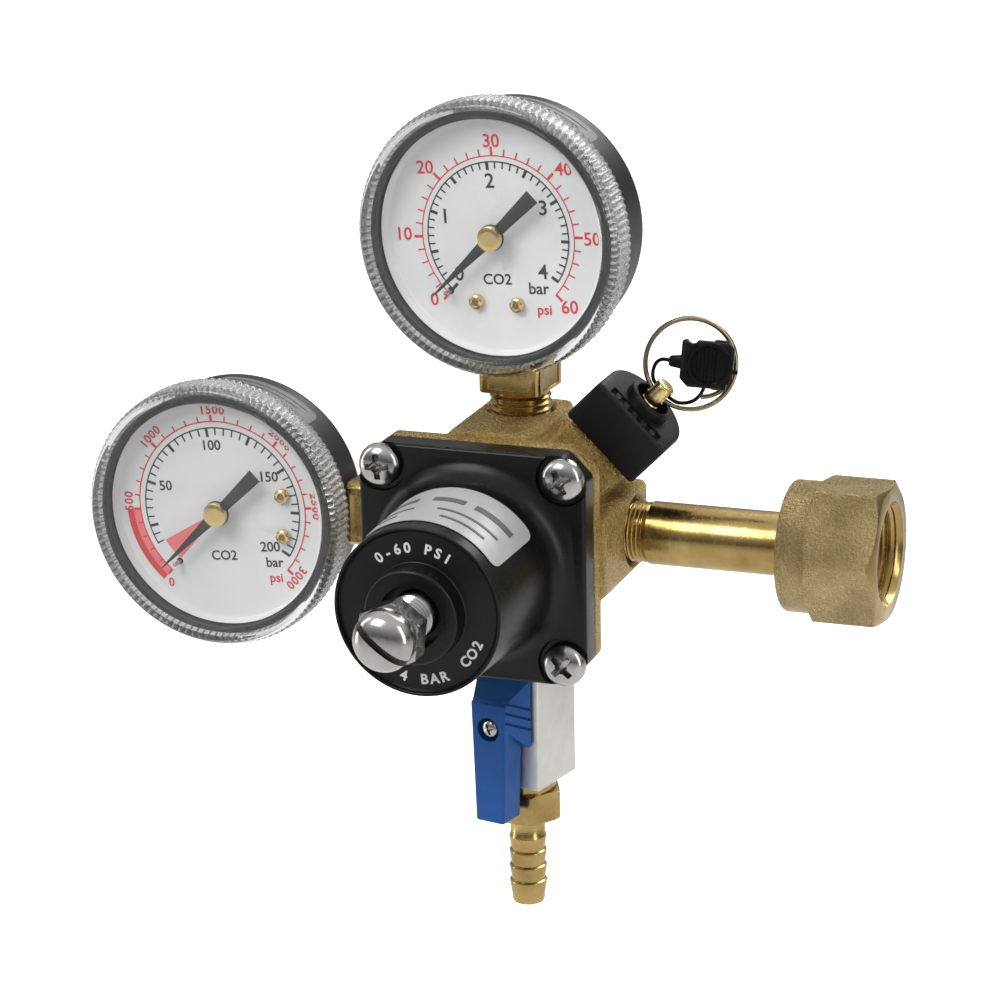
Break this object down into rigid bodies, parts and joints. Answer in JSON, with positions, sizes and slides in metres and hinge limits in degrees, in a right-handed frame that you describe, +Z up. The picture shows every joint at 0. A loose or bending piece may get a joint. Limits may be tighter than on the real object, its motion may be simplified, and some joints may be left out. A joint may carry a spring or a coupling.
{
  "type": "carbon dioxide regulator",
  "caption": "Two-gauge pressure regulator for a carbon dioxide cylinder, with adjusting screw, relief valve, lever shut-off and hose barb.",
  "frame": {"origin": "centre of the inlet nipple's sealing end, where it meets the cylinder valve", "axes": "+X along the nipple towards the cylinder valve, +Y to the back of the regulator, +Z up to the outlet gauge"},
  "size_m": [0.1788, 0.1038, 0.1858],
  "materials": {
    "regulator_body": "sand cast, machined at the joints",
    "bonnet": "black satin coating",
    "diaphragm": "moulded",
    "diaphragm_plate": "polished stainless",
    "main_spring": "drawn wire",
    "spring_button": "polished stainless",
    "adjusting_screw": "polished stainless",
    "seat_nozzle": "machined, lightly aged",
    "poppet": "polished stainless",
    "poppet_spring": "drawn wire",
    "inlet_nipple": "machined, lightly aged",
    "inlet_filter": "sintered bronze",
    "inlet_washer": "moulded, off-white",
    "coupling_nut": "sand cast, machined at the joints",
    "relief_valve_body": "machined, lightly aged",
    "relief_retainer": "machined, lightly aged",
    "relief_seal_disc": "moulded",
    "relief_cap": "moulded",
    "relief_pin": "machined, lightly aged",
    "relief_spring": "drawn wire",
    "split_ring": "bronze-coloured wire",
    "tamper_seal": "moulded, semi-matt",
    "shutoff_body": "nickel plated, satin",
    "shutoff_ball": "polished stainless",
    "ball_seat_upper": "moulded, off-white",
    "ball_seat_lower": "moulded, off-white",
    "shutoff_stem": "polished stainless",
    "stem_packing": "moulded, off-white",
    "shutoff_lever": "blue, lightly textured",
    "lever_screw": "polished stainless",
    "hose_barb": "machined, lightly aged",
    "bonnet_screw_1": "polished stainless",
    "bonnet_screw_2": "polished stainless",
    "bonnet_screw_3": "polished stainless",
    "bonnet_screw_4": "polished stainless",
    "outlet_gauge_case": "black satin enamel",
    "outlet_gauge_lens": "clear moulded polycarbonate",
    "outlet_gauge_dial": "white enamel, printed",
    "outlet_gauge_stop_pin": "polished stainless",
    "outlet_gauge_movement_frame": "machined, lightly aged",
    "outlet_gauge_dial_screw_1": "machined, lightly aged",
    "outlet_gauge_dial_screw_2": "machined, lightly aged",
    "outlet_gauge_pointer_arbor": "machined, lightly aged",
    "outlet_gauge_sector_gear": "machined, lightly aged",
    "outlet_gauge_pointer": "black matt paint",
    "outlet_gauge_stem": "machined, lightly aged",
    "outlet_gauge_bourdon_tube": "machined, lightly aged",
    "inlet_gauge_case": "black satin enamel",
    "inlet_gauge_lens": "clear moulded polycarbonate",
    "inlet_gauge_dial": "white enamel, printed",
    "inlet_gauge_stop_pin": "polished stainless",
    "inlet_gauge_movement_frame": "machined, lightly aged",
    "inlet_gauge_dial_screw_1": "machined, lightly aged",
    "inlet_gauge_dial_screw_2": "machined, lightly aged",
    "inlet_gauge_pointer_arbor": "machined, lightly aged",
    "inlet_gauge_sector_gear": "machined, lightly aged",
    "inlet_gauge_pointer": "black matt paint",
    "inlet_gauge_stem": "machined, lightly aged",
    "inlet_gauge_bourdon_tube": "machined, lightly aged"
  },
  "bodies": {
    "regulator": {"regulator_body": "regulator_body", "bonnet": "bonnet", "diaphragm": "diaphragm", "main_spring": "main_spring", "seat_nozzle": "seat_nozzle", "poppet_spring": "poppet_spring", "inlet_nipple": "inlet_nipple", "inlet_filter": "inlet_filter", "inlet_washer": "inlet_washer", "relief_valve_body": "relief_valve_body", "relief_retainer": "relief_retainer", "relief_cap": "relief_cap", "relief_spring": "relief_spring", "shutoff_body": "shutoff_body", "ball_seat_upper": "ball_seat_upper", "ball_seat_lower": "ball_seat_lower", "stem_packing": "stem_packing", "hose_barb": "hose_barb", "bonnet_screw_1": "bonnet_screw_1", "bonnet_screw_2": "bonnet_screw_2", "bonnet_screw_3": "bonnet_screw_3", "bonnet_screw_4": "bonnet_screw_4", "outlet_gauge_case": "outlet_gauge_case", "outlet_gauge_lens": "outlet_gauge_lens", "outlet_gauge_dial": "outlet_gauge_dial", "outlet_gauge_stop_pin": "outlet_gauge_stop_pin", "outlet_gauge_movement_frame": "outlet_gauge_movement_frame", "outlet_gauge_dial_screw_1": "outlet_gauge_dial_screw_1", "outlet_gauge_dial_screw_2": "outlet_gauge_dial_screw_2", "outlet_gauge_stem": "outlet_gauge_stem", "outlet_gauge_bourdon_tube": "outlet_gauge_bourdon_tube", "inlet_gauge_case": "inlet_gauge_case", "inlet_gauge_lens": "inlet_gauge_lens", "inlet_gauge_dial": "inlet_gauge_dial", "inlet_gauge_stop_pin": "inlet_gauge_stop_pin", "inlet_gauge_movement_frame": "inlet_gauge_movement_frame", "inlet_gauge_dial_screw_1": "inlet_gauge_dial_screw_1", "inlet_gauge_dial_screw_2": "inlet_gauge_dial_screw_2", "inlet_gauge_stem": "inlet_gauge_stem", "inlet_gauge_bourdon_tube": "inlet_gauge_bourdon_tube"},
    "spring_button": {"spring_button": "spring_button"},
    "adjusting_screw": {"adjusting_screw": "adjusting_screw"},
    "diaphragm_plate": {"diaphragm_plate": "diaphragm_plate"},
    "poppet": {"poppet": "poppet"},
    "relief_pin": {"relief_pin": "relief_pin", "relief_seal_disc": "relief_seal_disc"},
    "split_ring": {"split_ring": "split_ring"},
    "tamper_seal": {"tamper_seal": "tamper_seal"},
    "outlet_pointer": {"outlet_gauge_pointer": "outlet_gauge_pointer", "outlet_gauge_pointer_arbor": "outlet_gauge_pointer_arbor"},
    "outlet_sector": {"outlet_gauge_sector_gear": "outlet_gauge_sector_gear"},
    "inlet_pointer": {"inlet_gauge_pointer": "inlet_gauge_pointer", "inlet_gauge_pointer_arbor": "inlet_gauge_pointer_arbor"},
    "inlet_sector": {"inlet_gauge_sector_gear": "inlet_gauge_sector_gear"},
    "coupling_nut": {"coupling_nut": "coupling_nut"},
    "shutoff_valve_turn": {"shutoff_ball": "shutoff_ball", "shutoff_stem": "shutoff_stem", "shutoff_lever": "shutoff_lever", "lever_screw": "lever_screw"}
  },
  "joints": [
    {"name": "spring_button_slide", "type": "slide", "parent": "regulator", "child": "spring_button", "axis": [0, 1, 0], "range_m": [0, 0.00705], "deforming": ["main_spring"]},
    {"name": "adjusting_screw_turn", "type": "hinge", "parent": "spring_button", "child": "adjusting_screw", "pos_m": [-0.074, 0, 0], "axis": [0, 1, 0], "range_deg": [-3, 1803]},
    {"name": "diaphragm_plate_slide", "type": "slide", "parent": "regulator", "child": "diaphragm_plate", "axis": [0, 1, 0], "range_m": [0, 0.001], "stiffness_N_per_m": 1500, "springref_m": -0.001, "deforming": ["diaphragm"]},
    {"name": "poppet_slide", "type": "slide", "parent": "regulator", "child": "poppet", "axis": [0, 1, 0], "range_m": [-0.00001, 0.00101], "deforming": ["poppet_spring"]},
    {"name": "relief_pin_slide", "type": "slide", "parent": "regulator", "child": "relief_pin", "axis": [0.7071, 0, 0.7071], "range_m": [0, 0.002], "stiffness_N_per_m": 800, "springref_m": -0.003, "deforming": ["relief_spring"]},
    {"name": "split_ring_swing", "type": "hinge", "parent": "relief_pin", "child": "split_ring", "pos_m": [-0.04303, 0, 0.03097], "axis": [0.7071, 0, -0.7071], "range_deg": [-60, 0]},
    {"name": "tamper_seal_swing", "type": "hinge", "parent": "relief_pin", "child": "tamper_seal", "pos_m": [-0.04215, 0.00038, 0.03185], "axis": [0.7071, 0, -0.7071], "range_deg": [0, 50]},
    {"name": "outlet_sector_turn", "type": "hinge", "parent": "regulator", "child": "outlet_sector", "pos_m": [-0.074, 0, 0.0539], "axis": [0.0576, 0.9983, 0], "range_deg": [-45, 0], "stiffness_Nm_per_rad": 0.002, "springref_deg": 5.73},
    {"name": "outlet_pointer_turn", "type": "hinge", "parent": "regulator", "child": "outlet_pointer", "pos_m": [-0.074, 0, 0.0665], "axis": [0.0576, 0.9983, 0], "range_deg": [-0.5, 270.5]},
    {"name": "inlet_sector_turn", "type": "hinge", "parent": "regulator", "child": "inlet_sector", "pos_m": [-0.1279, 0, 0], "axis": [0, 1, 0], "range_deg": [-45, 0], "stiffness_Nm_per_rad": 0.002, "springref_deg": 5.73},
    {"name": "inlet_pointer_turn", "type": "hinge", "parent": "regulator", "child": "inlet_pointer", "pos_m": [-0.1405, 0, 0], "axis": [0, 1, 0], "range_deg": [-0.5, 270.5]},
    {"name": "coupling_nut_turn", "type": "hinge", "parent": "regulator", "child": "coupling_nut", "pos_m": [0, 0, 0], "axis": [1, 0, 0], "continuous": true},
    {"name": "shutoff_lever_turn", "type": "hinge", "parent": "regulator", "child": "shutoff_valve_turn", "pos_m": [-0.074, 0, -0.0436], "axis": [-0.2079, -0.9781, 0], "range_deg": [0, 90]}
  ],
  "couplings": [
    {"joint": "adjusting_screw_turn", "follows": "spring_button_slide", "rad_per_m": 4456.2},
    {"joint": "poppet_slide", "follows": "diaphragm_plate_slide", "ratio": 1},
    {"joint": "outlet_pointer_turn", "follows": "outlet_sector_turn", "ratio": -6},
    {"joint": "inlet_pointer_turn", "follows": "inlet_sector_turn", "ratio": -6}
  ]
}
